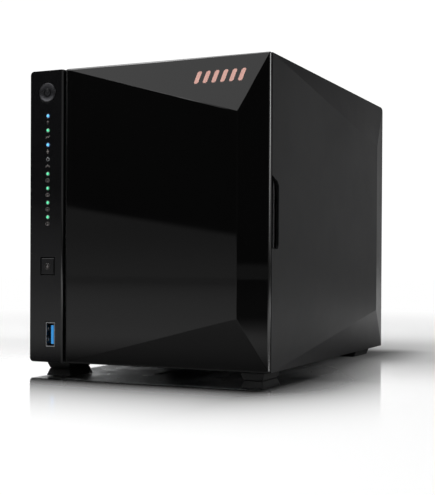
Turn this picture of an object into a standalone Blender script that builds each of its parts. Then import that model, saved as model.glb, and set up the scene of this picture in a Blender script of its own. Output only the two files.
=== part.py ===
"""Four-bay network storage enclosure with a faceted housing and a magnet-held front door."""
import math

import bmesh
import bpy
from mathutils import Matrix, Vector

MM = 0.001

# driving dimensions, in millimetres: X to the viewer's right, Y to the back, Z up
half_width = 80.0        # housing at its four upright edges
bulge = 84.0             # housing at the ridge of each side
floor_z, roof_z = 5.0, 184.0
front_y, back_y = -107.5, 114.5
ridge_y, ridge_low, ridge_high = 87.0, 33.0, 152.0
wall = 2.0
gap = 0.3

strip_left, strip_right = -80.0, -56.5
face_y = -110.5          # front plane of the strip and of the door's rim
door_left, door_right = -54.3, 80.0
door_ridge = (62.0, -115.5, 35.0, 151.0)

bay_count, bay_pitch, bay_start = 4, 31.5, -51.5
tray_width = 29.7
lever_axis = (-103.8, 26.0)

fan_centre = (13.0, 95.0)
led_top, led_pitch, led_x, led_count = 156.2, 8.87, -67.3, 8
power_at, copy_at = (-67.7, 170.5), (-67.1, 63.9)
usb_low, usb_high, usb_left, usb_right = 14.4, 29.5, -68.5, -61.7


def clearScene():
    for item in list(bpy.data.objects):
        bpy.data.objects.remove(item, do_unlink=True)


def newCollection(name):
    made = bpy.data.collections.new(name)
    bpy.context.scene.collection.children.link(made)
    return made


def paint(name, rgb, rough, metal=0.0):
    made = bpy.data.materials.new(name)
    made.use_nodes = True
    shader = made.node_tree.nodes["Principled BSDF"]
    shader.inputs["Base Color"].default_value = (*rgb, 1.0)
    shader.inputs["Roughness"].default_value = rough
    shader.inputs["Metallic"].default_value = metal
    made.diffuse_color = (*rgb, 1.0)
    return made


def keep(name, bm, origin, coat=None, smooth=False):
    """Turn a bmesh drawn in millimetres round its origin into a placed object."""
    bmesh.ops.scale(bm, vec=(MM, MM, MM), verts=bm.verts)
    bmesh.ops.recalc_face_normals(bm, faces=bm.faces)
    mesh = bpy.data.meshes.new(name)
    bm.to_mesh(mesh)
    bm.free()
    if smooth:
        mesh.shade_smooth()
        mesh.set_sharp_from_angle(angle=math.radians(35))
    made = bpy.data.objects.new(name, mesh)
    made.location = Vector(origin) * MM
    if coat is None:
        cutters.objects.link(made)
        made.hide_render = True
        made.display_type = "WIRE"
    else:
        parts.objects.link(made)
        mesh.materials.append(coat)
    return made


def box(name, low, high, coat=None, origin=None, turn=None):
    """A block between two corners."""
    low, high = Vector(low), Vector(high)
    centre = (low + high) / 2
    origin = Vector(origin) if origin else centre
    bm = bmesh.new()
    bmesh.ops.create_cube(bm, size=1.0)
    bmesh.ops.scale(bm, vec=high - low, verts=bm.verts)
    if turn:
        bmesh.ops.transform(bm, matrix=turn, verts=bm.verts)
    bmesh.ops.translate(bm, vec=centre - origin, verts=bm.verts)
    return keep(name, bm, origin, coat)


def rod(name, axis, centre, radius, length, coat=None, sides=24, origin=None, tip=None):
    """A cylinder, or a cone with a tip radius, along one axis."""
    turns = {"X": Matrix.Rotation(math.pi / 2, 3, "Y"), "Y": Matrix.Rotation(-math.pi / 2, 3, "X"),
             "Z": Matrix.Identity(3)}
    origin = Vector(origin) if origin else Vector(centre)
    bm = bmesh.new()
    bmesh.ops.create_cone(bm, cap_ends=True, segments=sides, radius1=radius,
                          radius2=radius if tip is None else tip, depth=length)
    bmesh.ops.transform(bm, matrix=turns[axis].to_4x4(), verts=bm.verts)
    bmesh.ops.translate(bm, vec=Vector(centre) - origin, verts=bm.verts)
    return keep(name, bm, origin, coat, smooth=True)


def hull(name, points, coat=None):
    """The flat-faced solid wrapped round a set of corners."""
    bm = bmesh.new()
    for point in points:
        bm.verts.new(point)
    bmesh.ops.convex_hull(bm, input=bm.verts)
    bmesh.ops.dissolve_limit(bm, angle_limit=math.radians(0.02), verts=bm.verts, edges=bm.edges)
    return keep(name, bm, (0.0, 0.0, 0.0), coat)


def combine(target, tools, operation):
    for tool in tools:
        step = target.modifiers.new(tool.name, "BOOLEAN")
        step.operation = operation
        step.solver = "EXACT"
        step.object = tool
    return target


def cut(target, *tools):
    return combine(target, tools, "DIFFERENCE")


def join(target, *tools):
    return combine(target, tools, "UNION")


def soften(target, width):
    step = target.modifiers.new("edge", "BEVEL")
    step.width = width * MM
    step.segments = 1
    step.limit_method = "ANGLE"
    step.angle_limit = math.radians(40)
    return target


def bodyCorners(inset, low, high, front, back):
    """Corners of the housing's outline, drawn in from the surface by inset."""
    points = []
    for side in (-1, 1):
        for z in (low, high):
            points.append((side * (half_width - inset), front, z))
            points.append((side * (half_width - inset), back, z))
        points.append((side * (bulge - inset), ridge_y, ridge_low))
        points.append((side * (bulge - inset), ridge_y, ridge_high))
    return points


clearScene()
parts = newCollection("nas_enclosure")
cutters = newCollection("cutters")

gloss_black = paint("gloss_black", (0.006, 0.006, 0.007), 0.08)
strip_black = paint("strip_black", (0.008, 0.008, 0.009), 0.18)
satin_grey = paint("satin_grey", (0.028, 0.028, 0.030), 0.38)
frame_black = paint("frame_black", (0.012, 0.012, 0.013), 0.5)
tray_black = paint("tray_black", (0.016, 0.016, 0.017), 0.45)
button_grey = paint("button_grey", (0.08, 0.08, 0.085), 0.3, 0.7)
lever_grey = paint("lever_grey", (0.05, 0.05, 0.052), 0.4)
zinc_steel = paint("zinc_steel", (0.55, 0.56, 0.57), 0.35, 1.0)
bright_steel = paint("bright_steel", (0.72, 0.72, 0.72), 0.2, 1.0)
usb_blue = paint("usb_blue", (0.03, 0.28, 0.85), 0.35)
clear_guide = paint("clear_guide", (0.75, 0.85, 0.9), 0.15)
board_green = paint("board_green", (0.01, 0.10, 0.04), 0.4)
rubber_black = paint("rubber_black", (0.015, 0.015, 0.015), 0.8)
fan_black = paint("fan_black", (0.02, 0.02, 0.02), 0.45)
alloy_sink = paint("alloy_sink", (0.6, 0.6, 0.62), 0.35, 1.0)
socket_black = paint("socket_black", (0.01, 0.01, 0.01), 0.4)
magnet_nickel = paint("magnet_nickel", (0.65, 0.63, 0.6), 0.25, 1.0)

# housing: a U of two faceted sides and a roof, open at the front, the back and underneath
cover = hull("housing_cover", bodyCorners(0.0, floor_z, roof_z, front_y, back_y), satin_grey)
hollow = hull("cover_hollow", bodyCorners(wall, floor_z - 20.0, roof_z - wall, front_y - 20.0, back_y + 20.0))
notch = hull("cover_notch", [(x, y, z) for x in (70.0, 90.0)
                             for y, z in ((-110.0, 74.5), (-99.0, 74.5), (-97.5, 76.5), (-97.5, 110.5),
                                          (-100.0, 113.0), (-110.0, 116.5))])
cut(cover, hollow, notch)


def cornerCutter(name, axis, at, radius, low, high):
    """A block with a cylinder's side, which leaves a rounded corner round the line at."""
    return cut(box(name, low, high), rod(name + "_round", axis, at, radius, 300.0, sides=40))


back_round, left_round = 4.5, 2.5
left_x, left_top, left_low = -half_width + left_round, roof_z - left_round, floor_z + left_round
cut(cover, cornerCutter("back_corner", "X", (0.0, back_y - back_round, roof_z - back_round), back_round,
                        (-95.0, back_y - back_round, roof_z - back_round), (95.0, 125.0, 195.0)))


def leftCorners(target, tag):
    """Round the two long edges at the left, seen from the front."""
    return cut(target, cornerCutter(tag + "_top", "Y", (left_x, 0.0, left_top), left_round,
                                    (-95.0, -130.0, left_top), (left_x, 130.0, 195.0)),
               cornerCutter(tag + "_low", "Y", (left_x, 0.0, left_low), left_round,
                            (-95.0, -130.0, -5.0), (left_x, 130.0, left_low)))


leftCorners(cover, "cover_left")

inner = half_width - wall - gap
base = box("base_chassis", (-inner, -107.0, 5.0), (inner, 111.2, 7.5), zinc_steel)
cut(base, *[box(f"base_vent_{i}", (-20.0 + i * 14.0, -60.0, 0.0), (-15.0 + i * 14.0, 40.0, 10.0))
            for i in range(6)])

front_frame = box("front_frame", (-inner, -107.1, 7.8), (inner, -97.5, 181.7), frame_black)
cut(front_frame, box("frame_bays", (-52.0, -120.0, 20.0), (75.0, -90.0, 170.0)),
    box("frame_strip", (-76.5, -120.0, 11.5), (-56.8, -90.0, 178.5)),
    box("frame_notch", (72.0, -120.0, 74.5), (90.0, -99.5, 116.5)))

# indicator strip with its openings
strip = box("indicator_strip", (strip_left, face_y, floor_z), (strip_right, front_y - gap + 0.1, roof_z),
            strip_black)
leftCorners(strip, "strip_left")
led_rows = [led_top - led_pitch * i for i in range(led_count)]
cut(strip, rod("strip_power", "Y", (power_at[0], -110.0, power_at[1]), 6.3, 20.0, sides=32),
    box("strip_copy", (copy_at[0] - 5.2, -120.0, copy_at[1] - 5.6), (copy_at[0] + 5.2, -100.0, copy_at[1] + 5.6)),
    box("strip_usb", (usb_left - gap, -120.0, usb_low - gap), (usb_right + gap, -100.0, usb_high + gap)),
    *[rod(f"strip_led_{i}", "Y", (led_x, -110.0, z), 1.5, 20.0, sides=12) for i, z in enumerate(led_rows)])

guide = box("light_guide", (led_x - 3.2, -104.0, 90.5), (led_x + 3.2, -101.5, 160.5), clear_guide)
join(guide, *[rod(f"guide_peg_{i}", "Y", (led_x, -106.6, z), 1.2, 7.6, sides=12)
              for i, z in enumerate(led_rows)])
box("front_board", (-76.0, -101.0, 12.0), (-58.0, -99.4, 178.0), board_green)

power = rod("power_button", "Y", (power_at[0], -108.9, power_at[1]), 5.95, 3.8, button_grey, 32)
join(power, rod("power_stem", "Y", (power_at[0], -105.4, power_at[1]), 2.0, 5.6, sides=16))
copy_button = box("copy_button", (copy_at[0] - 4.9, -110.7, copy_at[1] - 5.3),
                  (copy_at[0] + 4.9, -107.0, copy_at[1] + 5.3), button_grey)
soften(copy_button, 0.6)
join(copy_button, rod("copy_stem", "Y", (copy_at[0], -105.4, copy_at[1]), 2.0, 5.6, sides=16))

usb = box("usb_shell", (usb_left, -110.3, usb_low), (usb_right, -101.6, usb_high), bright_steel)
cut(usb, box("usb_hollow", (usb_left + 0.6, -120.0, usb_low + 0.6), (usb_right - 0.6, -102.6, usb_high - 0.6)))
box("usb_tongue", (-65.0, -109.6, usb_low + 1.8), (-63.1, -102.9, usb_high - 1.8), usb_blue)

# front door: a thin faceted cap, hollow behind, held by four magnets
ridge_x, ridge_face, low_z, high_z = door_ridge
rim = [(x, y, z) for x in (door_left, door_right) for y in (face_y, front_y - gap) for z in (floor_z, roof_z)]
door = hull("front_door", rim + [(ridge_x, ridge_face, low_z), (ridge_x, ridge_face, high_z)], gloss_black)
cut(door, box("door_hollow", (door_left + 3.0, -109.0, 9.0), (door_right - 3.0, -90.0, 180.0)))
for i, (x, z) in enumerate(((-47.0, 14.0), (-47.0, 175.0), (72.0, 14.0), (72.0, 175.0))):
    rod(f"door_magnet_{i + 1}", "Y", (x, -108.2, z), 3.5, 1.2, magnet_nickel, 20)

# cage that guides the trays
cage = box("drive_cage", (-53.4, -96.5, 38.2), (76.4, 58.0, 151.8), zinc_steel)
cut(cage, box("cage_room", (-51.9, -120.0, 39.7), (74.9, 80.0, 150.3)))
join(cage, *[box(f"cage_leg_{i}", (x, -96.2, 7.8), (x + 1.2, 57.5, 60.0)) for i, x in enumerate((-53.2, 75.0))],
     *[box(f"cage_guide_{k}_{z:.0f}", (bay_start + bay_pitch * k - 0.5, -96.2, z),
           (bay_start + bay_pitch * k + 0.5, 57.5, z + 9.0))
       for k in range(1, bay_count) for z in (39.0, 142.0)])

backplane = box("backplane", (-51.5, 60.2, 42.0), (74.5, 61.8, 148.0), board_green)
cut(backplane, *[box(f"plane_vent_{k}", (bay_start + bay_pitch * k + 14.0, 50.0, 52.0),
                     (bay_start + bay_pitch * k + 26.0, 70.0, 88.0)) for k in range(bay_count)])

bay_x = [bay_start + bay_pitch * (k + 0.5) for k in range(bay_count)]
tray_low, tray_high = 40.3, 149.7
hinge_y, hinge_z = lever_axis
for k, x in enumerate(bay_x):
    number = k + 1
    socket = box(f"drive_socket_{number}", (x - 9.0, 51.2, 96.0), (x - 3.0, 59.9, 140.0), socket_black)
    cut(socket, box(f"socket_slot_{number}", (x - 7.3, 40.0, 98.0), (x - 4.7, 56.0, 138.0)))

    left, right = x - tray_width / 2, x + tray_width / 2
    tray = box(f"tray_{number}", (left, -100.0, 21.0), (right, -96.9, 169.0), tray_black)
    cut(tray, *[box(f"tray_slot_{number}_{i}", (x - 9.0, -110.0, 50.0 + 13.0 * i), (x + 9.0, -90.0, 54.0 + 13.0 * i))
                for i in range(8)])
    join(tray, box(f"tray_side_{number}", (left, -98.0, tray_low), (left + 1.5, 48.0, tray_high)),
         box(f"tray_floor_{number}", (left + 0.5, -98.0, tray_low), (right, 48.0, tray_low + 3.0)),
         box(f"tray_top_{number}", (left + 0.5, -98.0, tray_high - 3.0), (right, 48.0, tray_high)),
         *[box(f"tray_lug_{number}_{side}", (x + side * 13.2 - 1.0, -105.6, 22.5),
               (x + side * 13.2 + 1.0, -98.5, 29.5)) for side in (-1, 1)])

    lever = box(f"tray_lever_{number}", (x - 11.5, -106.6, 26.0), (x + 11.5, -101.2, 148.0), lever_grey,
                origin=(x, hinge_y, hinge_z))
    soften(lever, 0.6)
    join(lever, rod(f"lever_barrel_{number}", "X", (x, hinge_y, hinge_z), 2.5, 22.0, sides=16))
    cut(lever, *[box(f"lever_slot_{number}_{i}", (x - 7.5, -120.0, 50.0 + 13.0 * i),
                     (x + 7.5, -90.0, 54.5 + 13.0 * i)) for i in range(7)])
    release = box(f"tray_release_{number}", (x - 6.0, -106.4, 151.5), (x + 6.0, -101.8, 162.5), button_grey)
    soften(release, 0.6)

# electronics behind the strip
box("mainboard", (-76.2, -92.0, 14.0), (-74.6, 106.0, 176.0), board_green)
sink = box("heatsink", (-74.3, -20.0, 90.0), (-60.0, 20.0, 130.0), alloy_sink)
cut(sink, *[box(f"sink_slot_{i}", (-71.8, -30.0, 91.6 + 4.9 * i), (-50.0, 30.0, 94.9 + 4.9 * i))
            for i in range(8)])
box("memory_module", (-74.3, 40.0, 96.0), (-55.5, 43.8, 166.0), board_green)
rod("coin_cell", "X", (-72.4, -55.0, 60.0), 10.0, 3.2, bright_steel, 24)

# rear panel with the fan opening and the sockets in a column behind the strip
rear = box("rear_panel", (-inner, 111.6, 7.8), (inner, 113.8, 181.7), satin_grey)
cut(rear, rod("rear_fan_hole", "Y", (fan_centre[0], 112.0, fan_centre[1]), 54.0, 20.0, sides=40),
    *[box(f"rear_vent_{i}", (-30.0 + 12.0 * i, 100.0, 166.0), (-22.0 + 12.0 * i, 120.0, 169.0)) for i in range(8)],
    box("rear_lock_slot", (60.0, 100.0, 20.0), (67.0, 120.0, 23.0)))
lan_z = (118.0, 94.0)
for i, z in enumerate(lan_z):
    lan = box(f"lan_socket_{i + 1}", (-74.0, 96.0, z - 8.0), (-60.0, 114.3, z + 8.0), zinc_steel)
    cut(lan, box(f"lan_room_{i}", (-72.6, 101.0, z - 6.0), (-62.0, 130.0, z + 6.0)))
    cut(rear, box(f"rear_lan_{i}", (-74.4, 100.0, z - 8.4), (-59.6, 130.0, z + 8.4)))
pair = box("usb_rear_pair", (-74.0, 98.0, 62.0), (-58.6, 114.3, 76.6), bright_steel)
cut(pair, *[box(f"pair_room_{i}", (x, 100.0, 62.8), (x + 5.4, 130.0, 75.8)) for i, x in enumerate((-73.2, -64.9))])
join(pair, *[box(f"pair_tongue_{i}", (x, 99.0, 64.6), (x + 1.8, 112.5, 74.0))
             for i, x in enumerate((-71.4, -63.1))])
cut(rear, box("rear_pair", (-74.4, 100.0, 61.6), (-58.2, 130.0, 77.0)))
inlet = box("power_socket", (-74.0, 100.0, 20.0), (-62.0, 114.3, 32.0), socket_black)
cut(inlet, rod("inlet_bore", "Y", (-68.0, 113.0, 26.0), 3.6, 20.0, sides=20))
join(inlet, rod("inlet_pin", "Y", (-68.0, 106.0, 26.0), 1.1, 12.5, sides=12))
cut(rear, box("rear_inlet", (-74.4, 100.0, 19.6), (-61.6, 130.0, 32.4)))
cut(rear, rod("rear_reset", "Y", (-67.0, 112.0, 48.0), 1.9, 20.0, sides=16))
reset = rod("reset_button", "Y", (-67.0, 110.5, 48.0), 1.6, 7.0, socket_black, 16)
join(reset, rod("reset_collar", "Y", (-67.0, 108.5, 48.0), 2.6, 2.4, sides=16))
for i, (x, z) in enumerate(((70.0, 174.5), (-70.0, 174.5), (72.0, 30.0))):
    screw = rod(f"cover_screw_{i + 1}", "Y", (x, 114.8, z), 3.2, 1.4, zinc_steel, 20)
    join(screw, rod(f"screw_shank_{i}", "Y", (x, 111.5, z), 1.4, 6.0, sides=12))
    cut(rear, rod(f"rear_screw_{i}", "Y", (x, 112.0, z), 1.8, 20.0, sides=12))

# fan: frame with a hub held by four struts, rotor and finger guard
fan_x, fan_z = fan_centre
fan_frame = box("fan_frame", (fan_x - 59.8, 86.4, fan_z - 59.8), (fan_x + 59.8, 111.2, fan_z + 59.8), fan_black)
cut(fan_frame, rod("frame_bore", "Y", (fan_x, 98.0, fan_z), 57.2, 60.0, sides=40))
join(fan_frame, rod("frame_hub", "Y", (fan_x, 110.0, fan_z), 19.0, 2.0, sides=32),
     *[box(f"frame_strut_{i}", (fan_x - 2.0, 109.2, fan_z - 58.5) if i else (fan_x - 58.5, 109.3, fan_z - 2.0),
           (fan_x + 2.0, 110.8, fan_z + 58.5) if i else (fan_x + 58.5, 110.7, fan_z + 2.0)) for i in range(2)])

rotor = rod("fan_rotor", "Y", (fan_x, 98.0, fan_z), 18.5, 20.4, fan_black, 32)
for i in range(7):
    spin = Matrix.Rotation(i * math.tau / 7, 4, "Y")
    pitch = Matrix.Translation((36.0, 0.0, 0.0)) @ Matrix.Rotation(math.radians(52), 4, "X")
    join(rotor, box(f"rotor_blade_{i}", (fan_x - 18.5, 97.2, fan_z - 12.0), (fan_x + 18.5, 98.8, fan_z + 12.0),
                    origin=(fan_x, 98.0, fan_z), turn=spin @ pitch))

grille = rod("fan_grille", "Y", (fan_x, 114.7, fan_z), 56.5, 1.2, zinc_steel, 40)
for i, (inside, outside) in enumerate(((10.0, 17.5), (19.5, 27.0), (29.0, 36.5), (38.5, 46.0), (48.0, 53.5))):
    ring = rod(f"grille_gap_{i}", "Y", (fan_x, 114.7, fan_z), outside, 6.0, sides=32)
    cut(ring, rod(f"grille_core_{i}", "Y", (fan_x, 114.7, fan_z), inside, 10.0, sides=32),
        box(f"grille_bar_{i}", (fan_x - 1.5, 105.0, fan_z - 70.0), (fan_x + 1.5, 125.0, fan_z + 70.0)),
        box(f"grille_beam_{i}", (fan_x - 70.0, 105.0, fan_z - 1.5), (fan_x + 70.0, 125.0, fan_z + 1.5)))
    cut(grille, ring)

# feet: four tapered rubber blocks
for i, (low_x, high_x, low_y, high_y) in enumerate(((-76.0, -58.0, -98.5, -72.0), (61.0, 76.0, -108.0, -82.0),
                                                    (-76.0, -58.0, 64.0, 97.0), (61.0, 76.0, 64.0, 97.0))):
    hull(f"foot_{i + 1}", [(x, y, 4.7) for x in (low_x, high_x) for y in (low_y, high_y)]
         + [(x, y, 0.0) for x in (low_x + 1.6, high_x - 1.6) for y in (low_y + 1.6, high_y - 1.6)], rubber_black)

print("objects:", len(parts.objects))
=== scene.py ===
import math

import bmesh
import bpy
from mathutils import Matrix, Vector


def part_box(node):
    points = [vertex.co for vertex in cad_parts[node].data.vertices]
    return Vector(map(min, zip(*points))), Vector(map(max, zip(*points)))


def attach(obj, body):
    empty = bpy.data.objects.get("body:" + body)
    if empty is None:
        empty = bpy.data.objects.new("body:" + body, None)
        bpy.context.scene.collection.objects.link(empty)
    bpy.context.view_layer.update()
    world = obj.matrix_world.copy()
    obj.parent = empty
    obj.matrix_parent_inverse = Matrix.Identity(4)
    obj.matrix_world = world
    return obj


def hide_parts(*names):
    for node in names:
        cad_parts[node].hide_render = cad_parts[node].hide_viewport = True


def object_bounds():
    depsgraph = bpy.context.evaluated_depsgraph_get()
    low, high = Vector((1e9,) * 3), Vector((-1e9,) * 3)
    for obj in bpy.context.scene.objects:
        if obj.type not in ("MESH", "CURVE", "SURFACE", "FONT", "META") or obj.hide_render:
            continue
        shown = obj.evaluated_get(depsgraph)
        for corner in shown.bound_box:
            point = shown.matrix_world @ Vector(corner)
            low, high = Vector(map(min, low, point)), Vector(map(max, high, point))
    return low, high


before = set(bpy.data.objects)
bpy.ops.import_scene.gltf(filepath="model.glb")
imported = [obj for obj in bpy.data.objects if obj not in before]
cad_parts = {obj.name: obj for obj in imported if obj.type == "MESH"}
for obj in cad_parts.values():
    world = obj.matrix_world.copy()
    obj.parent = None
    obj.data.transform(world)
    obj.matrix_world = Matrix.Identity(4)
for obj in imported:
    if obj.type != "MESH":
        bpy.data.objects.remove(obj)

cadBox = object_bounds()
mm = 0.001
print("frame loaded")


def linearColour(hexText):
    # sRGB hex to linear
    channels = [int(hexText[i:i + 2], 16) / 255 for i in (1, 3, 5)]
    return tuple(c / 12.92 if c <= 0.04045 else ((c + 0.055) / 1.055) ** 2.4 for c in channels) + (1.0,)


def addNode(tree, kind, settings=None, inputs=None):
    node = tree.nodes.new(kind)
    for key, value in (settings or {}).items():
        setattr(node, key, value)
    for key, value in (inputs or {}).items():
        if isinstance(value, bpy.types.NodeSocket):
            tree.links.new(value, node.inputs[key])
        else:
            node.inputs[key].default_value = value
    return node


def newMaterial(name):
    material = bpy.data.materials.new(name)
    material.use_nodes = True
    tree = material.node_tree
    return material, tree, tree.nodes["Principled BSDF"]


def newPiece(name, bm, material, smoothAngle=35.0):
    mesh = bpy.data.meshes.new(name)
    bm.to_mesh(mesh)
    bm.free()
    mesh.shade_smooth()
    mesh.set_sharp_from_angle(angle=math.radians(smoothAngle))
    piece = bpy.data.objects.new(name, mesh)
    bpy.context.scene.collection.objects.link(piece)
    if material:
        mesh.materials.append(material)
    return piece


def hand(piece, body, slotName, *nodes):
    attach(piece, body)
    if nodes:
        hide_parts(*nodes)
    return piece


def bakeModifiers(piece):
    # live modifiers become plain mesh, at its final shape
    bpy.context.view_layer.update()
    final = bpy.data.meshes.new_from_object(piece.evaluated_get(bpy.context.evaluated_depsgraph_get()))
    old = piece.data
    piece.modifiers.clear()
    piece.data = final
    final.name = piece.name
    bpy.data.meshes.remove(old)
    return piece


def roundEdges(piece, width, segments=2, angle=32.0):
    step = piece.modifiers.new("roundEdges", "BEVEL")
    step.width = width
    step.segments = segments
    step.limit_method = "ANGLE"
    step.angle_limit = math.radians(angle)
    step.harden_normals = True
    step.use_clamp_overlap = True
    return bakeModifiers(piece)


def addBlock(bm, low, high, turn=None):
    low, high = Vector(low), Vector(high)
    made = bmesh.ops.create_cube(bm, size=1.0)["verts"]
    bmesh.ops.scale(bm, vec=high - low, verts=made)
    if turn:
        bmesh.ops.transform(bm, matrix=turn.to_4x4(), verts=made)
    bmesh.ops.translate(bm, vec=(low + high) / 2, verts=made)
    return made


def addRod(bm, axis, centre, radius, length, sides=32, tip=None):
    turns = {"X": Matrix.Rotation(math.pi / 2, 4, "Y"), "Y": Matrix.Rotation(-math.pi / 2, 4, "X"),
             "Z": Matrix.Identity(4)}
    made = bmesh.ops.create_cone(bm, cap_ends=True, segments=sides, radius1=radius,
                                 radius2=radius if tip is None else tip, depth=length)["verts"]
    bmesh.ops.transform(bm, matrix=Matrix.Translation(centre) @ turns[axis], verts=made)
    return made


def addLathe(bm, centre, profile, steps=64):
    # profile: (radius, height along -Y) pairs from the middle outwards and back; turned about the Y axis
    rings = []
    for radius, lift in profile:
        if radius < 1e-7:
            rings.append([bm.verts.new((centre[0], centre[1] - lift, centre[2]))])
            continue
        rings.append([bm.verts.new((centre[0] + radius * math.cos(t), centre[1] - lift,
                                    centre[2] + radius * math.sin(t)))
                      for t in (math.tau * i / steps for i in range(steps))])
    for first, second in zip(rings, rings[1:]):
        for i in range(steps):
            j = (i + 1) % steps
            corners = [first[i % len(first)], first[j % len(first)], second[j % len(second)],
                       second[i % len(second)]]
            corners = list(dict.fromkeys(corners))
            if len(corners) > 2:
                bm.faces.new(corners)
    bmesh.ops.recalc_face_normals(bm, faces=bm.faces)


def addRibbon(bm, points, width, y, depth, closed=False):
    # a flat raised line through (x, z) points, facing the front
    count = len(points)
    for i in range(count if closed else count - 1):
        a, b = Vector(points[i]), Vector(points[(i + 1) % count])
        along = (b - a)
        length = along.length
        if length < 1e-9:
            continue
        angle = math.atan2(along.y, along.x)
        middle = (a + b) / 2
        turn = Matrix.Rotation(-angle, 3, "Y")
        half = Vector((length / 2 + width * 0.42, depth / 2, width / 2))
        addBlock(bm, Vector((middle.x, y, middle.y)) - half, Vector((middle.x, y, middle.y)) + half, turn)


def copyOf(node):
    # a merged copy of a CAD solid, with the flat faces put back together
    bm = bmesh.new()
    bm.from_mesh(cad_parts[node].data)
    bmesh.ops.remove_doubles(bm, verts=bm.verts, dist=1e-6)
    bmesh.ops.dissolve_limit(bm, angle_limit=math.radians(0.6), verts=bm.verts, edges=bm.edges)
    return bm


def finer(name, node, body, material, slotName, width, segments=2, angle=32.0):
    piece = newPiece(name, copyOf(node), material)
    if width:
        roundEdges(piece, width, segments, angle)
    return hand(piece, body, slotName, node)


def flatFacets(piece, least=0.9 * mm):
    # broad faces keep one normal each, and only the narrow rounded strips between them are shaded smooth
    for face in piece.data.polygons:
        around = sum((piece.data.vertices[a].co - piece.data.vertices[b].co).length
                     for a, b in face.edge_keys)
        face.use_smooth = 2.0 * face.area / around < least


def paintNode(material, *names):
    for name in names:
        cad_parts[name].material_slots[0].material = material


def buildCopyTree():
    # one tree for what repeats: copies of a template on a mesh's points
    tree = bpy.data.node_groups.new("copiesOnPoints", "GeometryNodeTree")
    face = tree.interface
    face.new_socket("Points", in_out="INPUT", socket_type="NodeSocketGeometry")
    for label, kind in (("Template", "NodeSocketObject"), ("Size", "NodeSocketFloat"),
                        ("Size Spread", "NodeSocketFloat"), ("Seed", "NodeSocketInt"),
                        ("Finish", "NodeSocketMaterial")):
        face.new_socket(label, in_out="INPUT", socket_type=kind)
    face.new_socket("Copies", in_out="OUTPUT", socket_type="NodeSocketGeometry")
    given = addNode(tree, "NodeGroupInput").outputs
    shape = addNode(tree, "GeometryNodeObjectInfo", {"transform_space": "ORIGINAL"},
                    {"Object": given["Template"]})
    low = addNode(tree, "ShaderNodeMath", {"operation": "SUBTRACT"},
                  {0: given["Size"], 1: given["Size Spread"]})
    random = addNode(tree, "FunctionNodeRandomValue", {"data_type": "FLOAT"})
    tree.links.new(low.outputs[0], random.inputs[2])
    tree.links.new(given["Size"], random.inputs[3])
    tree.links.new(given["Seed"], random.inputs["Seed"])
    placed = addNode(tree, "GeometryNodeInstanceOnPoints", None,
                     {"Points": given["Points"], "Instance": shape.outputs["Geometry"],
                      "Scale": random.outputs[1]})
    real = addNode(tree, "GeometryNodeRealizeInstances", None, {"Geometry": placed.outputs["Instances"]})
    coated = addNode(tree, "GeometryNodeSetMaterial", None,
                     {"Geometry": real.outputs["Geometry"], "Material": given["Finish"]})
    addNode(tree, "NodeGroupOutput", None, {"Copies": coated.outputs["Geometry"]})
    return tree


copyTree = buildCopyTree()


def spread(name, template, points, material, size=1.0, sizeSpread=0.0, seed=3):
    # template: a bmesh round the origin; points: where its copies go
    source = newPiece(name + "Template", template, material)
    mesh = bpy.data.meshes.new(name)
    mesh.from_pydata([tuple(p) for p in points], [], [])
    piece = bpy.data.objects.new(name, mesh)
    bpy.context.scene.collection.objects.link(piece)
    step = piece.modifiers.new("copies", "NODES")
    step.node_group = copyTree
    values = {"Template": source, "Size": float(size), "Size Spread": float(sizeSpread), "Seed": seed,
              "Finish": material}
    for item in copyTree.interface.items_tree:
        if item.item_type == "SOCKET" and item.in_out == "INPUT" and item.name in values:
            step[item.identifier] = values[item.name]
    bakeModifiers(piece)
    piece.data.shade_smooth()
    piece.data.set_sharp_from_angle(angle=math.radians(35))
    bpy.data.objects.remove(source, do_unlink=True)
    return piece


def surface(name, look):
    # moulded, painted or metal surface: fine grain as bump, wide patches as roughness and tint
    material, tree, shader = newMaterial(name)
    place = addNode(tree, "ShaderNodeTexCoord").outputs["Object"]
    stretch = addNode(tree, "ShaderNodeMapping", None,
                      {"Vector": place, "Scale": look.get("stretch", (1, 1, 1))})
    fine = addNode(tree, "ShaderNodeTexNoise", None,
                   {"Vector": stretch.outputs["Vector"], "Scale": 1.0 / (look["grain"] * mm), "Detail": 3.0,
                    "Roughness": 0.55})
    wide = addNode(tree, "ShaderNodeTexNoise", None,
                   {"Vector": stretch.outputs["Vector"], "Scale": 1.0 / (look.get("patch", 35.0) * mm),
                    "Detail": 4.0, "Roughness": 0.6})
    low, high = look["rough"]
    blend = addNode(tree, "ShaderNodeMapRange", None,
                    {"Value": wide.outputs["Fac"], "From Min": 0.32, "From Max": 0.68, "To Min": low,
                     "To Max": high})
    tint = addNode(tree, "ShaderNodeMix", {"data_type": "RGBA"})
    tree.links.new(wide.outputs["Fac"], tint.inputs["Factor"])
    tint.inputs["A"].default_value = linearColour(look["colours"][0])
    tint.inputs["B"].default_value = linearColour(look["colours"][1])
    tree.links.new(tint.outputs["Result"], shader.inputs["Base Color"])
    tree.links.new(blend.outputs["Result"], shader.inputs["Roughness"])
    bump = addNode(tree, "ShaderNodeBump", None,
                   {"Height": fine.outputs["Fac"], "Strength": look.get("strength", 0.5),
                    "Distance": look["height"] * mm})
    tree.links.new(bump.outputs["Normal"], shader.inputs["Normal"])
    shader.inputs["Metallic"].default_value = look.get("metallic", 0.0)
    if not look.get("metallic"):
        shader.inputs["IOR"].default_value = look.get("ior", 1.5)
    shader.inputs["Coat Weight"].default_value = look.get("coat", 0.0)
    if "specular" in look:
        shader.inputs["Specular IOR Level"].default_value = look["specular"]
    if look.get("clear"):
        shader.inputs["Transmission Weight"].default_value = look["clear"]
    return material


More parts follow.
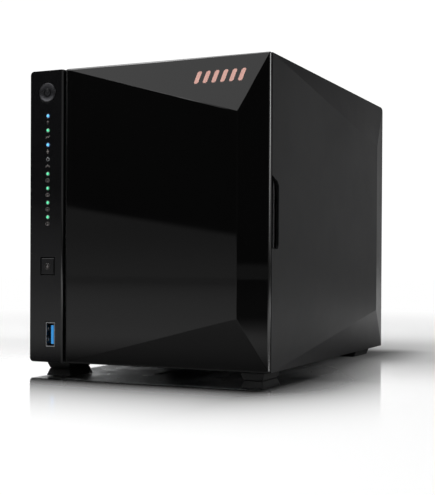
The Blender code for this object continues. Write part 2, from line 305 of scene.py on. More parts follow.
# sizes in millimetres; colours in sRGB; rough is the least and the most
finishes = {
    # high-gloss ABS from a polished mould: deep black, mirror-like, a breath of haze
    "glossAbs": {"colours": ("#060606", "#080808"), "rough": (0.012, 0.03), "grain": 6.0, "height": 0.0006,
                 "patch": 45.0, "ior": 1.46, "specular": 0.26},
    # the door's outer edge and the strip's chamfer: the same black a shade lighter and far more reflective
    # than the faces, a painted highlight along these edges
    "polishedRim": {"colours": ("#0a0a0a", "#0e0e0e"), "rough": (0.08, 0.12), "grain": 3.0, "height": 0.0006,
                    "ior": 1.5, "specular": 1.0},
    # gloss ABS of the strip, hazier than the door
    "stripAbs": {"colours": ("#0c0c0d", "#101011"), "rough": (0.08, 0.13), "grain": 1.2, "height": 0.0012,
                 "patch": 30.0, "ior": 1.46, "specular": 0.26},
    # textured paint on pressed steel: satin, a fine orange peel
    "satinPaint": {"colours": ("#131314", "#1a1a1b"), "rough": (0.3, 0.4), "grain": 0.35, "height": 0.012,
                   "patch": 60.0, "ior": 1.45, "specular": 0.34},
    # spark-eroded ABS of the inner frame: dull, fine pits
    "frameAbs": {"colours": ("#131314", "#1b1b1c"), "rough": (0.45, 0.6), "grain": 0.3, "height": 0.02},
    # the same ABS in the trays: a shade paler and less dull, its pits a little wider
    "trayAbs": {"colours": ("#1a1a1b", "#232324"), "rough": (0.4, 0.55), "grain": 0.35, "height": 0.02},
    # grey ABS of the levers: paler and smoother still
    "leverAbs": {"colours": ("#2c2c2e", "#353537"), "rough": (0.34, 0.46), "grain": 0.4, "height": 0.015},
    # vacuum-metallised button caps: dark grey with a soft metal sheen
    "buttonMetal": {"colours": ("#29292b", "#353538"), "rough": (0.22, 0.34), "grain": 0.15, "height": 0.002,
                    "metallic": 0.75, "stretch": (1, 1, 6)},
    # hot-dip zinc on sheet steel: pale, faint spangle
    "zincSteel": {"colours": ("#9b9ea1", "#bcbfc1"), "rough": (0.25, 0.5), "grain": 0.5, "height": 0.004,
                  "patch": 9.0, "metallic": 1.0},
    # nickel-plated stampings: bright, slightly drawn
    "nickelPlate": {"colours": ("#c9c8c4", "#dddcd8"), "rough": (0.14, 0.26), "grain": 0.25, "height": 0.002,
                    "metallic": 1.0, "stretch": (1, 5, 1)},
    # USB shell: nickel a little rougher and much darker than the other plating, painted shade for its dark
    # inside
    "dullNickel": {"colours": ("#77787a", "#8b8c8e"), "rough": (0.2, 0.3), "grain": 0.25, "height": 0.002,
                   "metallic": 1.0},
    # extruded aluminium, bead blasted
    "blastedAlloy": {"colours": ("#a7a9ad", "#babcc0"), "rough": (0.32, 0.45), "grain": 0.2, "height": 0.01,
                     "metallic": 1.0},
    # glass-filled PBT of sockets: black, matt
    "socketPbt": {"colours": ("#0d0d0e", "#141415"), "rough": (0.42, 0.55), "grain": 0.25, "height": 0.01},
    # blue PBT of the USB tongue: smooth, with a soft shine
    "usbPbt": {"colours": ("#2b9bf0", "#3aa9f7"), "rough": (0.28, 0.36), "grain": 0.3, "height": 0.004},
    # silicone rubber feet: matt, finely pitted
    "footRubber": {"colours": ("#0d0d0d", "#161616"), "rough": (0.7, 0.85), "grain": 0.5, "height": 0.03,
                   "ior": 1.45},
    # glass-filled PBT of the fan: moulded smooth, black, a soft sheen
    "fanPbt": {"colours": ("#111112", "#1a1a1b"), "rough": (0.35, 0.45), "grain": 0.4, "height": 0.008},
    # epoxy glass board under green solder mask
    "boardMask": {"colours": ("#0b3a22", "#12502f"), "rough": (0.25, 0.35), "grain": 0.4, "height": 0.012},
    # light-pipe polycarbonate
    "clearPc": {"colours": ("#dfe8ee", "#f2f6f8"), "rough": (0.08, 0.14), "grain": 1.0, "height": 0.001,
                "clear": 0.7, "ior": 1.58},
    # transfer-moulded epoxy of chips: grey-black and dull
    "chipEpoxy": {"colours": ("#161617", "#202022"), "rough": (0.5, 0.62), "grain": 0.2, "height": 0.008},
    # hard gold plating on contacts: yellow and bright
    "goldFinger": {"colours": ("#c79a4a", "#d9b061"), "rough": (0.2, 0.3), "grain": 0.2, "height": 0.002,
                   "metallic": 1.0},
    # pad-printed pale grey ink
    "paleInk": {"colours": ("#6b6765", "#7c7775"), "rough": (0.5, 0.6), "grain": 0.2, "height": 0.001},
    # pad-printed copper-coloured ink: pinkish, with no metal shine
    "copperInk": {"colours": ("#c48f83", "#d3a093"), "rough": (0.35, 0.45), "grain": 0.2, "height": 0.001},
}
mat = {name: surface(name, look) for name, look in finishes.items()}


def lampMaterial(name, core, edge, strength):
    # a lit light-pipe end: pale in the middle, saturated at its edge
    material, tree, shader = newMaterial(name)
    rim = addNode(tree, "ShaderNodeAttribute", {"attribute_name": "rim"})
    soft = addNode(tree, "ShaderNodeMapRange", {"interpolation_type": "SMOOTHSTEP"},
                   {"Value": rim.outputs["Fac"], "From Min": 0.2, "From Max": 0.95})
    tint = addNode(tree, "ShaderNodeMix", {"data_type": "RGBA"})
    tree.links.new(soft.outputs["Result"], tint.inputs["Factor"])
    tint.inputs["A"].default_value = linearColour(core)
    tint.inputs["B"].default_value = linearColour(edge)
    tree.links.new(tint.outputs["Result"], shader.inputs["Base Color"])
    tree.links.new(tint.outputs["Result"], shader.inputs["Emission Color"])
    shader.inputs["Emission Strength"].default_value = strength
    shader.inputs["Roughness"].default_value = 0.25
    return material


lampBlue = lampMaterial("litPipeBlue", "#5cc4ee", "#0f5f9c", 0.9)
lampGreen = lampMaterial("litPipeGreen", "#4fd99c", "#0b6b42", 0.9)
lampOff = lampMaterial("darkPipe", "#141313", "#0b0b0b", 0.0)
print("materials made:", len(mat) + 3)


# low view from the front right, angles in degrees and places in metres
view = {"azimuth": 24.27, "elevation": 0.59, "roll": 0.30, "place": (0.2940, -0.6386, 0.0656),
        "lens": 74.55, "shift": (-0.0253, 0.0556)}
camera = bpy.data.objects.new("camera", bpy.data.cameras.new("camera"))
bpy.context.scene.collection.objects.link(camera)
camera.data.sensor_width = 36.0
camera.data.lens = view["lens"]
camera.data.shift_x, camera.data.shift_y = view["shift"]
camera.data.clip_start = 0.01
camera.matrix_world = (Matrix.Translation(view["place"])
                       @ Matrix.Rotation(math.radians(view["azimuth"]), 4, "Z")
                       @ Matrix.Rotation(math.radians(90.0 - view["elevation"]), 4, "X")
                       @ Matrix.Rotation(math.radians(view["roll"]), 4, "Z"))
bpy.context.scene.camera = camera
bpy.context.scene.view_settings.view_transform = "Standard"

# the room as patches of light laid over a grey one, each over those before it: azimuth from straight
# back, clockwise from above, and elevation, in degrees; fall tilts a patch's upper edge about an azimuth,
# in degrees per degree; seen is what the room shows to the camera
room = {
    "base": 0.22,
    "seen": 1.05,
    "patches": [
        {"az": (-75, -6), "el": (-25, 30), "soft": 3.0, "light": 1.05},     # white wall behind
        {"az": (-6, 45), "el": (-25, 14), "soft": 5.0, "light": 0.25},      # dim wall, back right
        {"az": (-6, 45), "el": (14, 60), "soft": 4.0, "light": 0.02},
        {"az": (80, 100), "el": (3, 32), "soft": 6.0, "light": 9.0},       # tall strip light, right
        {"az": (-172, -122), "el": (0, 20), "soft": 2.0, "light": 0.008},   # black flags in front
        {"az": (152, 179.8), "el": (0, 60), "soft": 0.2, "light": 0.006},
        {"az": (-179, -118), "el": (20, 44), "soft": 0.9, "light": 2.7},    # soft box, front left
        {"az": (-175, -112), "el": (-25, 2.45), "soft": 0.2, "light": 0.36,
         "fall": (-146.0, 0.16)},                                          # pale low wall, front left
        {"az": (-175, -112), "el": (-25, 0.5), "soft": 1.5, "light": 0.57},
    ],
}


def buildRoom():
    world = bpy.data.worlds.new("studio")
    bpy.context.scene.world = world
    world.use_nodes = True
    tree = world.node_tree
    tree.nodes.clear()
    way = addNode(tree, "ShaderNodeSeparateXYZ", None,
                  {"Vector": addNode(tree, "ShaderNodeTexCoord").outputs["Generated"]}).outputs
    azimuth = addNode(tree, "ShaderNodeMath", {"operation": "ARCTAN2"}, {0: way["X"], 1: way["Y"]})
    height = addNode(tree, "ShaderNodeMath", {"operation": "ARCSINE"}, {0: way["Z"]})

    total = room["base"]
    for patch in room["patches"]:
        level = height.outputs[0]
        if "fall" in patch:
            middle, slope = patch["fall"]
            apart = addNode(tree, "ShaderNodeMath", {"operation": "SUBTRACT"},
                            {0: azimuth.outputs[0], 1: math.radians(middle)}).outputs[0]
            level = addNode(tree, "ShaderNodeMath", {"operation": "MULTIPLY_ADD"},
                            {0: apart, 1: -slope, 2: level}).outputs[0]
        # four soft edges: left, right, lower and upper
        (left, right), (lower, upper), soft = patch["az"], patch["el"], patch["soft"]
        mask = 1.0
        for value, at, before, after in ((azimuth.outputs[0], left, 0.0, 1.0),
                                         (azimuth.outputs[0], right, 1.0, 0.0),
                                         (height.outputs[0], lower, 0.0, 1.0), (level, upper, 1.0, 0.0)):
            side = addNode(tree, "ShaderNodeMapRange", {"interpolation_type": "SMOOTHSTEP"},
                           {"Value": value, "From Min": math.radians(at - soft),
                            "From Max": math.radians(at + soft), "To Min": before, "To Max": after})
            mask = addNode(tree, "ShaderNodeMath", {"operation": "MULTIPLY"},
                           {0: mask, 1: side.outputs["Result"]}).outputs[0]
        blend = addNode(tree, "ShaderNodeMix", {"data_type": "FLOAT"},
                        {"Factor": mask, "A": total, "B": patch["light"]})
        total = blend.outputs["Result"]
    # seen directly, the room is plain white all round
    seen = addNode(tree, "ShaderNodeLightPath").outputs["Is Camera Ray"]
    shown = addNode(tree, "ShaderNodeMix", {"data_type": "FLOAT"},
                    {"Factor": seen, "A": total, "B": room["seen"]})
    glow = addNode(tree, "ShaderNodeBackground", None, {"Color": shown.outputs["Result"]})
    addNode(tree, "ShaderNodeOutputWorld", None, {"Surface": glow.outputs[0]})


buildRoom()

# the table, in metres; each ramp is where it starts and ends, its value at either end, and its shape
stageLook = {
    "size": 8.0, "mirrorRough": 0.05, "ramps": {
        "mirrorNear": (0.02, 0.20, 1.1, 0.0, "LINEAR"),        # mirror image, by gap to the object
        "mirrorLow": (0.70, 0.80, 0.0, 1.0, "LINEAR"),         # only at low angles
        "mirrorSide": (0.09, 0.20, 1.0, 0.0, "LINEAR"),        # not to the right
        "mirrorBack": (-0.08, 0.05, 1.0, 0.0, "LINEAR"),       # nor behind
        # contact and shade are painted shade in the table's colour: a painted contact shadow at the base,
        # and a wider painted shade that only polished faces see
        "contact": (-0.02, 0.042, 0.10, 0.91, "SMOOTHSTEP"),   # soft shade at the base, up to white
        "shade": (0.03, 0.28, 0.38, 1.0, "LINEAR"),            # wider one, for polished faces only
        "selfLit": (0.30, 0.85, 0.0, 1.0, "SMOOTHSTEP"),       # from lit by lamps to lit by itself
        "darkShift": (-0.65, -0.35, 0.20, 0.0, "LINEAR"),      # in front, the dark side reaches in
        "darkSide": (0.12, 0.30, 1.0, 0.07, "SMOOTHSTEP"),     # glow, left to right
        "dimFar": (-2.6, -0.7, 0.48, 1.0, "LINEAR"),           # glow, far in front
    },
}


def buildFloor():
    # white lacquered table top: dull, with painted shade round the object's base and a fading mirror image
    # close in front of the object
    bm = bmesh.new()
    bmesh.ops.create_grid(bm, x_segments=8, y_segments=8, size=stageLook["size"] / 2)
    material, tree, shader = newMaterial("paintedTableTop")
    tree.nodes.remove(shader)
    place = addNode(tree, "ShaderNodeTexCoord").outputs["Object"]
    apart = addNode(tree, "ShaderNodeVectorMath", {"operation": "LENGTH"}, {0: place}).outputs["Value"]
    axes = addNode(tree, "ShaderNodeSeparateXYZ", None, {"Vector": place}).outputs
    # the gap between a point and the object's outline
    sized = addNode(tree, "ShaderNodeVectorMath", {"operation": "ABSOLUTE"}, {0: place}).outputs[0]
    over = addNode(tree, "ShaderNodeVectorMath", {"operation": "SUBTRACT"},
                   {0: sized, 1: tuple(cadBox[1])}).outputs[0]
    clear = addNode(tree, "ShaderNodeVectorMath", {"operation": "MAXIMUM"},
                    {0: over, 1: (0, 0, 0)}).outputs[0]
    gap = addNode(tree, "ShaderNodeVectorMath", {"operation": "LENGTH"}, {0: clear}).outputs["Value"]
    facing = addNode(tree, "ShaderNodeLayerWeight").outputs["Facing"]
    across = addNode(tree, "ShaderNodeMath", {"operation": "ADD"}, {0: axes["X"]})
    follows = {"mirrorNear": gap, "mirrorLow": facing, "mirrorSide": axes["X"], "mirrorBack": axes["Y"],
               "contact": gap, "shade": gap, "selfLit": apart, "darkShift": axes["Y"],
               "darkSide": across.outputs[0], "dimFar": axes["Y"]}
    ramps = {}
    for name, value in follows.items():
        start, stop, first, last, kind = stageLook["ramps"][name]
        ramps[name] = addNode(tree, "ShaderNodeMapRange", {"interpolation_type": kind},
                              {"Value": value, "From Min": start, "From Max": stop, "To Min": first,
                               "To Max": last}).outputs["Result"]
    tree.links.new(ramps["darkShift"], across.inputs[1])
    polish = addNode(tree, "ShaderNodeMath", {"operation": "POWER"}, {0: ramps["mirrorNear"], 1: 2.0})
    for name in ("mirrorLow", "mirrorSide", "mirrorBack"):
        polish = addNode(tree, "ShaderNodeMath", {"operation": "MULTIPLY", "use_clamp": True},
                         {0: polish.outputs[0], 1: ramps[name]})
    glow = addNode(tree, "ShaderNodeMath", {"operation": "MULTIPLY"},
                   {0: ramps["darkSide"], 1: ramps["dimFar"]})
    # to the camera the table is white all over; its dark parts are only for polished faces to mirror
    seen = addNode(tree, "ShaderNodeLightPath").outputs["Is Camera Ray"]
    glow = addNode(tree, "ShaderNodeMath", {"operation": "MAXIMUM"}, {0: glow.outputs[0], 1: seen})
    # painted shade: the table's colour darkened close round the object, more widely where only polished
    # faces see it
    shade = addNode(tree, "ShaderNodeMath", {"operation": "MAXIMUM"}, {0: ramps["shade"], 1: seen})
    shade = addNode(tree, "ShaderNodeMath", {"operation": "MULTIPLY"},
                    {0: ramps["contact"], 1: shade.outputs[0]})
    dull = addNode(tree, "ShaderNodeBsdfDiffuse", None, {"Color": shade.outputs[0]})
    mirror = addNode(tree, "ShaderNodeBsdfGlossy", None,
                     {"Color": linearColour("#ffffff"), "Roughness": stageLook["mirrorRough"]})
    top = addNode(tree, "ShaderNodeMixShader", None,
                  {0: polish.outputs[0], 1: dull.outputs[0], 2: mirror.outputs[0]})
    light = addNode(tree, "ShaderNodeEmission", None, {"Color": glow.outputs[0], "Strength": 1.0})
    whole = addNode(tree, "ShaderNodeMixShader", None,
                    {0: ramps["selfLit"], 1: top.outputs[0], 2: light.outputs[0]})
    tree.links.new(whole.outputs[0], tree.nodes["Material Output"].inputs["Surface"])
    newPiece("floor", bm, material)


buildFloor()

lamps = {
    "overhead": {"place": (-0.32, -0.50, 1.30), "aim": (0.0, 0.0, 0.0), "size": 1.2, "power": 14.0},
    "frontFill": {"place": (-0.45, -0.85, 1.45), "aim": (0.0, 0.0, 0.09), "size": 0.5, "power": 3.0},
}
for lampName, lamp in lamps.items():
    made = bpy.data.objects.new(lampName, bpy.data.lights.new(lampName, "AREA"))
    made.data.shape = "SQUARE"
    made.data.size = lamp["size"]
    made.data.energy = lamp["power"]
    made.location = lamp["place"]
    aim = Vector(lamp["aim"]) - Vector(lamp["place"])
    made.rotation_euler = aim.to_track_quat("-Z", "Y").to_euler()
    bpy.context.scene.collection.objects.link(made)
print("camera and stage set")


# folds of less than foldAngle degrees aren't rounded
coverLook = {"edgeRound": 0.5, "foldAngle": 2.0}


def buildCover():
    cover = newPiece("coverShell", copyOf("housing_cover"), mat["satinPaint"], 180.0)
    step = cover.modifiers.new("roundEdges", "BEVEL")
    step.width, step.segments = coverLook["edgeRound"] * mm, 2
    step.limit_method, step.angle_limit = "ANGLE", math.radians(coverLook["foldAngle"])
    flatFacets(bakeModifiers(cover))
    hand(cover, "case", "satin_grey", "housing_cover")


buildCover()
finer("baseTray", "base_chassis", "case", mat["zincSteel"], "zinc_steel", 0.2 * mm)
finer("innerFrame", "front_frame", "case", mat["frameAbs"], "frame_black", 0.4 * mm)
print("housing made")

doorLook = {"face": -110.5, "ridgeX": 62.0, "ridgeY": -115.5, "ridgeLow": 35.0, "ridgeHigh": 151.0,
            "ridgeRound": 0.25, "edgeRound": 0.95, "hollowFrom": -109.0, "sideWall": 3.0, "endWall": 4.0,
            "ribs": 7, "ribStart": 14.0, "ribPitch": 25.0, "ribLift": 0.7, "rimBand": 1.3}


def buildDoor():
    # a flat box pulled out to an upright ridge: facets left and right of it, above it and below it
    low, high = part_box("front_door")
    face = doorLook["face"] * mm
    corners = [(x, y, z) for x in (low[0], high[0]) for y in (face, high[1]) for z in (low[2], high[2])]
    corners += [(doorLook["ridgeX"] * mm, doorLook["ridgeY"] * mm, doorLook[k] * mm)
                for k in ("ridgeLow", "ridgeHigh")]
    bm = bmesh.new()
    for corner in corners:
        bm.verts.new(corner)
    bmesh.ops.convex_hull(bm, input=bm.verts)
    bmesh.ops.dissolve_limit(bm, angle_limit=math.radians(0.02), verts=bm.verts, edges=bm.edges)
    # the bevel is 1 mm wide, so a weight is a width in millimetres
    weights = bm.edges.layers.float.new("bevel_weight_edge")
    for edge in bm.edges:
        onRim = all(v.co.y > face - 1e-5 for v in edge.verts)
        edge[weights] = doorLook["edgeRound"] if onRim else doorLook["ridgeRound"]
    door = newPiece("doorCap", bm, mat["glossAbs"], 180.0)
    step = door.modifiers.new("roundEdges", "BEVEL")
    step.width = 1.0 * mm
    step.segments = 4
    step.limit_method = "WEIGHT"
    bakeModifiers(door)
    # hollow back with a lip and ribs, seen once the door is pulled off
    hollow = bmesh.new()
    wall, end, back = doorLook["sideWall"], doorLook["endWall"], doorLook["hollowFrom"] * mm
    addBlock(hollow, low + Vector((wall, 0, end)) * mm, high + Vector((-wall, 9.0, -end)) * mm)
    for v in hollow.verts:
        v.co.y = max(v.co.y, back)
    cutter = newPiece("doorHollow", hollow, None)
    step = door.modifiers.new("hollow", "BOOLEAN")
    step.operation, step.solver, step.object = "DIFFERENCE", "EXACT", cutter
    bakeModifiers(door)
    bpy.data.objects.remove(cutter, do_unlink=True)
    flatFacets(door)
    # the narrow rounded strips along the door's outer edge get the brighter copy, a painted highlight
    door.data.materials.append(mat["polishedRim"])
    for face in door.data.polygons:
        middle = face.center
        rimGap = min(abs(middle[axis] - corner[axis]) for axis in (0, 2) for corner in (low, high))
        if face.use_smooth and rimGap < doorLook["rimBand"] * mm:
            face.material_index = 1
    hand(door, "door", "gloss_black", "front_door")
    ribs = bmesh.new()
    for i in range(doorLook["ribs"]):
        z = low[2] + (doorLook["ribStart"] + doorLook["ribPitch"] * i) * mm
        addBlock(ribs, (low[0] + (wall + 0.2) * mm, back - 0.05 * mm, z),
                 (high[0] - (wall + 0.2) * mm, back + doorLook["ribLift"] * mm, z + 1.0 * mm))
    hand(newPiece("doorRibs", ribs, mat["frameAbs"]), "door", "gloss_black")


buildDoor()
for number in range(1, 5):
    finer(f"magnetDisc{number}", f"door_magnet_{number}", "door", mat["nickelPlate"], "magnet_nickel",
          0.15 * mm)
print("door made")

stripLook = {"ledX": -67.3, "ledTop": 156.2, "pitch": 8.87, "lensRadius": 1.15, "iconDrop": 4.1,
             "iconSize": 1.25, "line": 0.34, "lineHeight": 0.06, "face": -110.5, "chamfer": 0.8,
             "chamferBand": 2.0, "edgeRound": 0.22}
ledLooks = [lampBlue, lampGreen, lampBlue, lampOff, lampGreen, lampGreen, lampGreen, lampGreen]


def buildStrip():
    # its edge beside the door is chamfered, and the chamfer takes the brighter rim copy, a painted
    # highlight, which leaves a pale line along the groove
    bm = copyOf("indicator_strip")
    low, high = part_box("indicator_strip")
    beside = [edge for edge in bm.edges
              if all(v.co.x > high[0] - 1e-5 and v.co.y < low[1] + 1e-5 for v in edge.verts)]
    bmesh.ops.bevel(bm, geom=beside, offset=stripLook["chamfer"] * mm, segments=1, affect="EDGES",
                    clamp_overlap=True)
    piece = newPiece("stripCover", bm, mat["stripAbs"])
    roundEdges(piece, stripLook["edgeRound"] * mm, 2, 50.0)
    # the chamfer's faces take the painted highlight
    piece.data.materials.append(mat["polishedRim"])
    band = high[0] - stripLook["chamferBand"] * mm
    for face in piece.data.polygons:
        if face.normal.x > 0.5 and face.normal.y < -0.4 and face.center.x > band:
            face.material_index = 1
    hand(piece, "case", "strip_black", "indicator_strip")


buildStrip()


def arc(centre, radius, start, end, steps=20):
    return [(centre[0] + radius * math.cos(math.radians(start + (end - start) * i / steps)),
             centre[1] + radius * math.sin(math.radians(start + (end - start) * i / steps)))
            for i in range(steps + 1)]


def iconLines(kind, x, z, s):
    # plain line symbols, one unit s wide to each side of (x, z): lists of (points, closed)
    if kind == "status":
        return [(arc((x, z), s * 0.7, 60, -240), False), ([(x, z), (x, z + s * 0.9)], False)]
    if kind == "link":
        return [([(x - s, z - s * 0.5), (x - s * 0.2, z + s * 0.3), (x + s * 0.2, z - s * 0.3),
                  (x + s, z + s * 0.5)], False)]
    if kind == "port":
        return [([(x, z - s), (x, z + s)], False), ([(x - s * 0.6, z + s * 0.1), (x, z - s * 0.6),
                                                      (x + s * 0.6, z + s * 0.2)], False)]
    if kind == "tree":
        return [([(x - s, z - s * 0.6), (x - s, z), (x + s, z), (x + s, z - s * 0.6)], False),
                ([(x, z), (x, z + s * 0.7)], False)]
    # a drive: rounded block with a short bar inside
    w, h, r = s * 0.95, s * 0.75, s * 0.3
    outline = []
    for cx, cz, a in ((x + w - r, z + h - r, 0), (x - w + r, z + h - r, 90), (x - w + r, z - h + r, 180),
                      (x + w - r, z - h + r, 270)):
        outline += arc((cx, cz), r, a, a + 90, 4)
    return [(outline, True), ([(x - w * 0.3, z - h * 0.3), (x + w * 0.4, z - h * 0.3)], False)]


def buildStripDetails():
    face = stripLook["face"] * mm
    icons = bmesh.new()
    kinds = ["status", "link", "port", "tree", "drive", "drive", "drive", "drive"]
    for i, kind in enumerate(kinds):
        x, z = stripLook["ledX"] * mm, (stripLook["ledTop"] - stripLook["pitch"] * i) * mm
        lines = iconLines(kind, x, z - stripLook["iconDrop"] * mm, stripLook["iconSize"] * mm)
        for points, closed in lines:
            addRibbon(icons, points, stripLook["line"] * mm, face, stripLook["lineHeight"] * mm, closed)
        bm = bmesh.new()
        r = stripLook["lensRadius"] * mm
        addLathe(bm, (x, face + 0.25 * mm, z), [(0, 0.30 * mm), (r * 0.35, 0.28 * mm), (r * 0.7, 0.2 * mm),
                                                 (r, 0.02 * mm), (r, -1.2 * mm), (0, -1.2 * mm)], 32)
        lens = newPiece(f"lens{i + 1}", bm, ledLooks[i])
        rim = lens.data.attributes.new("rim", "FLOAT", "POINT")
        rim.data.foreach_set("value", [min(1.0, math.hypot(v.co.x - x, v.co.z - z) / r)
                                       for v in lens.data.vertices])
        hand(lens, "case", "clear_guide")
    hand(newPiece("stripSymbols", icons, mat["paleInk"]), "case", "strip_black")


buildStripDetails()

barMark = {"left": 36.0, "top": 175.6, "wide": 2.7, "tall": 7.0, "step": 5.5, "lean": 2.4, "count": 6,
           "thick": 0.07, "cornerRound": 0.5}


def buildBarMark():
    # a plain printed sign on the door's upper facet: a row of leaning bars
    top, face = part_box("front_door")[1][2], doorLook["face"] * mm
    fall = (doorLook["ridgeY"] * mm - face) / (top - doorLook["ridgeHigh"] * mm)
    bar = bmesh.new()
    half, tall, thin = (barMark[key] / 2 * mm for key in ("wide", "tall", "thick"))
    addBlock(bar, (-half, -thin, -tall), (half, thin, tall))
    bmesh.ops.bevel(bar, geom=[e for e in bar.edges if abs(e.verts[0].co.y - e.verts[1].co.y) > 1e-6],
                    offset=barMark["cornerRound"] * mm, segments=3, affect="EDGES")
    for v in bar.verts:
        v.co.x += barMark["lean"] * mm * v.co.z / (2 * tall)
        v.co.y -= fall * v.co.z
    z = (barMark["top"] - barMark["tall"] / 2) * mm
    points = [((barMark["left"] + barMark["step"] * i) * mm, face + fall * (top - z), z)
              for i in range(barMark["count"])]
    hand(spread("barMark", bar, points, mat["copperInk"]), "door", "magnet_nickel")


buildBarMark()
finer("lightPipes", "light_guide", "case", mat["clearPc"], "clear_guide", 0.15 * mm)

buttonLook = {"radius": 5.9, "dish": 0.35, "symbol": 2.3, "symbolLine": 0.45, "copySymbol": 1.7,
              "copyLine": 0.36}


def buildButtons():
    low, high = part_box("power_button")
    x, z, base = (low[0] + high[0]) / 2, (low[2] + high[2]) / 2, low[1] + 0.4 * mm
    r, dish = buttonLook["radius"], buttonLook["dish"]
    # dished cap with a rounded rim, and a stem behind it: radius and height in millimetres
    profile = [(0, 0.4 - dish), (r * 0.5, 0.4 - dish * 0.85), (r * 0.8, 0.14), (r - 0.85, 0.3),
               (r - 0.55, 0.39), (r - 0.25, 0.38), (r - 0.06, 0.22), (r, 0.0), (r, -3.3), (2.0, -3.3),
               (2.0, -7.5), (0, -7.5)]
    bm = bmesh.new()
    addLathe(bm, (x, base, z), [(a * mm, b * mm) for a, b in profile], 72)
    hand(newPiece("powerCap", bm, mat["buttonMetal"], 50.0), "power_key", "button_grey", "power_button")
    mark = bmesh.new()
    s, line, y, depth = buttonLook["symbol"] * mm, buttonLook["symbolLine"] * mm, base - 0.12 * mm, 0.12 * mm
    addRibbon(mark, arc((x, z), s, 62, -242, 36), line, y, depth)
    addRibbon(mark, [(x, z + s * 0.15), (x, z + s * 1.25)], line, y, depth)
    hand(newPiece("powerSymbol", mark, mat["frameAbs"]), "power_key", "frame_black")

    low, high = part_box("copy_button")
    x, z, y = (low[0] + high[0]) / 2, (low[2] + high[2]) / 2, low[1]
    finer("copyCap", "copy_button", "copy_key", mat["stripAbs"], "button_grey", 0.25 * mm, 2)
    mark = bmesh.new()
    s, line, depth = buttonLook["copySymbol"] * mm, buttonLook["copyLine"] * mm, 0.1 * mm
    for points in (arc((x, z), s, 100, 250, 14), arc((x, z), s, -80, 70, 14),
                   [(x, z + s * 0.55), (x, z - s * 0.55)],
                   [(x - s * 0.45, z - s * 0.1), (x, z - s * 0.6), (x + s * 0.45, z - s * 0.1)]):
        addRibbon(mark, points, line, y, depth)
    hand(newPiece("copySymbol", mark, mat["paleInk"]), "copy_key", "strip_black")


buildButtons()


def buildFrontUsb():
    # the shell takes the darkened nickel, painted shade
    finer("usbShell", "usb_shell", "case", mat["dullNickel"], "bright_steel", 0.12 * mm)
    finer("usbTongue", "usb_tongue", "case", mat["usbPbt"], "usb_blue", 0.15 * mm)
    low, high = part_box("usb_tongue")
    finger = bmesh.new()
    addBlock(finger, (-0.06 * mm, -2.2 * mm, -0.5 * mm), (0.06 * mm, 2.2 * mm, 0.5 * mm))
    middle = (low[2] + high[2]) / 2
    points = [(low[0] - 0.02 * mm, low[1] + 3.2 * mm, middle + (i - 1.5) * 2.5 * mm) for i in range(4)]
    hand(spread("usbContacts", finger, points, mat["goldFinger"]), "case", "bright_steel")
    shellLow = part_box("usb_shell")[0]
    spring = bmesh.new()
    addBlock(spring, (-0.14 * mm, -1.6 * mm, -0.9 * mm), (0.14 * mm, 1.6 * mm, 0.9 * mm))
    points = [(shellLow[0] + 0.74 * mm, low[1] + 3.0 * mm, middle + i * 3.4 * mm) for i in (-1, 1)]
    hand(spread("usbSprings", spring, points, mat["nickelPlate"]), "case", "bright_steel")


buildFrontUsb()
for number in range(1, 5):
    finer(f"footPad{number}", f"foot_{number}", "case", mat["footRubber"], "rubber_black", 0.6 * mm, 3)
print("front details made")


trayLook = {"hingeY": -103.8, "hingeZ": 26.0, "pinRadius": 0.9, "pinLength": 25.0, "grips": 5,
            "gripPitch": 1.8, "screwFrom": -70.0, "screwStep": 60.0, "screwRows": (60.0, 130.0)}


def buildTrays():
    for k in range(1, 5):
        tray, lever, release = f"tray_{k}", f"tray_lever_{k}", f"tray_release_{k}"
        body = f"tray_body_{k}"
        finer(f"trayFrame{k}", tray, body, mat["trayAbs"], "tray_black", 0.2 * mm, 1)
        finer(f"trayLever{k}", lever, f"lever_body_{k}", mat["leverAbs"], "lever_grey", 0.3 * mm, 2)
        finer(f"trayKey{k}", release, f"release_body_{k}", mat["buttonMetal"], "button_grey", 0.3 * mm, 2)
        low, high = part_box(lever)
        middle = (low[0] + high[0]) / 2
        grip = bmesh.new()
        addBlock(grip, (-8.0 * mm, -0.18 * mm, -0.35 * mm), (8.0 * mm, 0.18 * mm, 0.35 * mm))
        bmesh.ops.bevel(grip, geom=list(grip.edges), offset=0.12 * mm, segments=1, affect="EDGES")
        points = [(middle, low[1] - 0.02 * mm, high[2] - (3.0 + trayLook["gripPitch"] * i) * mm)
                  for i in range(trayLook["grips"])]
        hand(spread(f"leverGrip{k}", grip, points, mat["leverAbs"]), f"lever_body_{k}", "lever_grey")
        # hinge pin and drive screws
        pin = bmesh.new()
        addRod(pin, "X", (middle, trayLook["hingeY"] * mm, trayLook["hingeZ"] * mm),
               trayLook["pinRadius"] * mm, trayLook["pinLength"] * mm, 16)
        hand(newPiece(f"leverPin{k}", pin, mat["nickelPlate"]), body, "bright_steel")
        screw = bmesh.new()
        addRod(screw, "X", (0, 0, 0), 2.6 * mm, 0.5 * mm, 20, 2.2 * mm)
        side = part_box(tray)[0][0] - 0.1 * mm
        points = [(side, (trayLook["screwFrom"] + trayLook["screwStep"] * i) * mm, z * mm)
                  for i in range(2) for z in trayLook["screwRows"]]
        hand(spread(f"trayScrews{k}", screw, points, mat["zincSteel"]), body, "tray_black")


buildTrays()
finer("driveCage", "drive_cage", "case", mat["zincSteel"], "zinc_steel", 0.15 * mm, 1)
print("trays made")


guardLook = {"wire": 0.6, "rings": (12.0, 20.0, 28.0, 36.0, 44.0, 52.0), "spokes": 4, "spokeMiddle": 35.0,
             "spokeLength": 42.5, "plate": 12.0}
# blades run from root over span; turn and pitch lessen outwards by their taper
fanLook = {"x": 13.0, "y": 98.0, "z": 95.0, "blades": 7, "root": 17.5, "span": 36.5, "turn": 0.95,
           "turnTaper": 0.28, "sweep": 0.20, "pitch": 15.0, "pitchTaper": 0.25, "camber": 2.2, "thick": 1.1,
           "rows": 9, "columns": 7}


